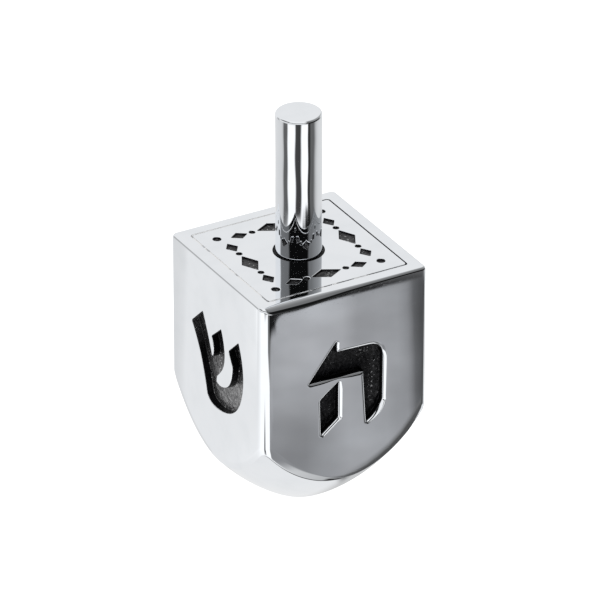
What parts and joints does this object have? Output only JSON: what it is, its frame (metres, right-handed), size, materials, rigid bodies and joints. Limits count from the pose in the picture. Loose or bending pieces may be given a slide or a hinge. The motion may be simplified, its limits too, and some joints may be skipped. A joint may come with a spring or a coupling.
{
  "type": "dreidel",
  "caption": "Polished metal dreidel: hollow square body with a pointed dome to spin on, a plain round stem in an inset top plate, and blackened recessed game letters on its flats.",
  "frame": {"origin": "the tip that the dreidel spins on, at the bottom of the dome on the spin axis", "axes": "+Z along the spin axis, up the stem; -Y out of the flat with he, -X out of the flat with shin, +X gimel, +Y nun"},
  "size_m": [0.0254, 0.0254, 0.0589],
  "materials": {
    "polished_silver": "mirror-polished silver with fine hairline marks",
    "dark_solder": "tarnished solder, dull",
    "black_oxide": "granular black oxide"
  },
  "bodies": {
    "root": {"body_shell": "polished_silver", "top_plate": "polished_silver", "stem": "polished_silver", "plate_seam": "dark_solder", "stem_seam": "dark_solder", "nun_inlay": "black_oxide", "gimel_inlay": "black_oxide", "he_inlay": "black_oxide", "shin_inlay": "black_oxide", "plate_inlay": "black_oxide"}
  },
  "joints": []
}
